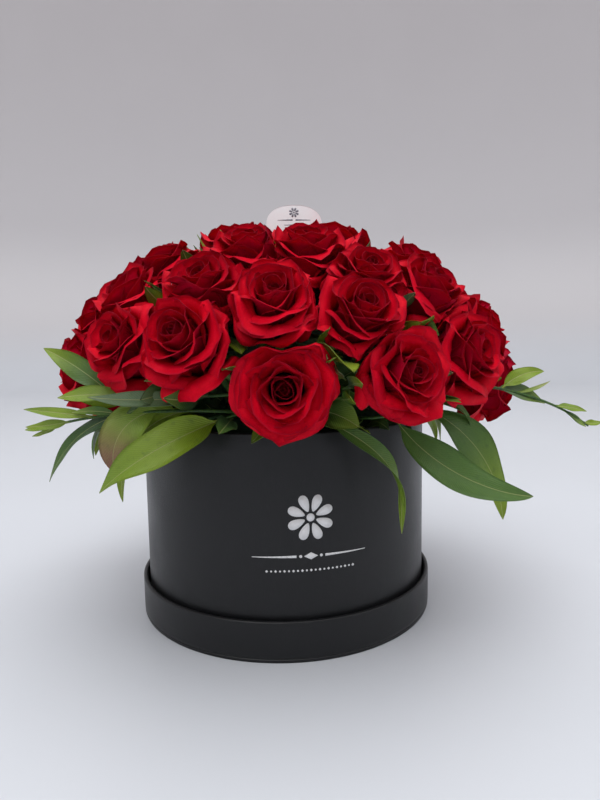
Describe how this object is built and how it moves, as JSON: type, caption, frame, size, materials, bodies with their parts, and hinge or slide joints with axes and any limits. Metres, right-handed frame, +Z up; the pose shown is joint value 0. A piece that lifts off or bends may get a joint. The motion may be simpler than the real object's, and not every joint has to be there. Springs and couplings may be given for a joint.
{
  "type": "flower box",
  "caption": "Round black hat box standing in its upturned lid, filled with a dome of open red roses and long-leaved greenery, with a small oval card on a pick.",
  "frame": {"origin": "centre of the tray's underside, where it rests on the table", "axes": "+Z up, -Y towards the front of the arrangement, +X to the viewer's right"},
  "size_m": [0.4116, 0.3447, 0.3139],
  "materials": {
    "black_paper": "matt charcoal-black cover paper with a faint grain",
    "grey_board": "uncoated grey paperboard",
    "liner_film": "translucent waterproof plastic",
    "floral_foam": "open-celled dark green foam, soaked",
    "red_petal": "velvety deep red petals with darker rims",
    "leaf_green": "semi-gloss ribbed leaves, yellow-green to grey-green",
    "white_card": "smooth white card",
    "clear_plastic": "clear plastic"
  },
  "bodies": {
    "tray": {"lid_panel": "black_paper", "lid_band": "grey_board", "lid_wrap": "black_paper"},
    "box": {"box_floor": "black_paper", "box_wall": "grey_board", "box_wrap": "black_paper"},
    "arrangement": {"liner": "liner_film", "foam": "floral_foam", "rose_low_01": "red_petal", "rose_low_02": "red_petal", "rose_low_03": "red_petal", "rose_low_04": "red_petal", "rose_low_05": "red_petal", "rose_low_06": "red_petal", "rose_low_07": "red_petal", "rose_low_08": "red_petal", "rose_low_09": "red_petal", "rose_low_10": "red_petal", "rose_low_11": "red_petal", "rose_low_12": "red_petal", "rose_low_13": "red_petal", "rose_low_14": "red_petal", "rose_low_15": "red_petal", "rose_middle_01": "red_petal", "rose_middle_02": "red_petal", "rose_middle_03": "red_petal", "rose_middle_04": "red_petal", "rose_middle_05": "red_petal", "rose_middle_06": "red_petal", "rose_middle_07": "red_petal", "rose_middle_08": "red_petal", "rose_middle_09": "red_petal", "rose_middle_10": "red_petal", "rose_middle_11": "red_petal", "rose_middle_12": "red_petal", "rose_middle_13": "red_petal", "rose_middle_14": "red_petal", "rose_upper_01": "red_petal", "rose_upper_02": "red_petal", "rose_upper_03": "red_petal", "rose_upper_04": "red_petal", "rose_upper_05": "red_petal", "rose_upper_06": "red_petal", "rose_upper_07": "red_petal", "rose_upper_08": "red_petal", "rose_upper_09": "red_petal", "rose_upper_10": "red_petal", "rose_crown_01": "red_petal", "rose_crown_02": "red_petal", "rose_crown_03": "red_petal", "sprig_left_long": "leaf_green", "sprig_left_broad": "leaf_green", "sprig_left_grey": "leaf_green", "sprig_front": "leaf_green", "sprig_right_broad": "leaf_green", "sprig_right_tip": "leaf_green", "sprig_back_right": "leaf_green", "sprig_back_left": "leaf_green"},
    "care_card": {"card_plate": "white_card", "card_pick": "clear_plastic"}
  },
  "joints": [
    {"name": "box_lift", "type": "slide", "parent": "tray", "child": "box", "axis": [0, 0, 1], "range_m": [0, 0.06]},
    {"name": "arrangement_lift", "type": "slide", "parent": "box", "child": "arrangement", "axis": [0, 0, 1], "range_m": [0, 0.16]},
    {"name": "card_pull", "type": "slide", "parent": "arrangement", "child": "care_card", "axis": [0, 0, 1], "range_m": [0, 0.05]}
  ]
}
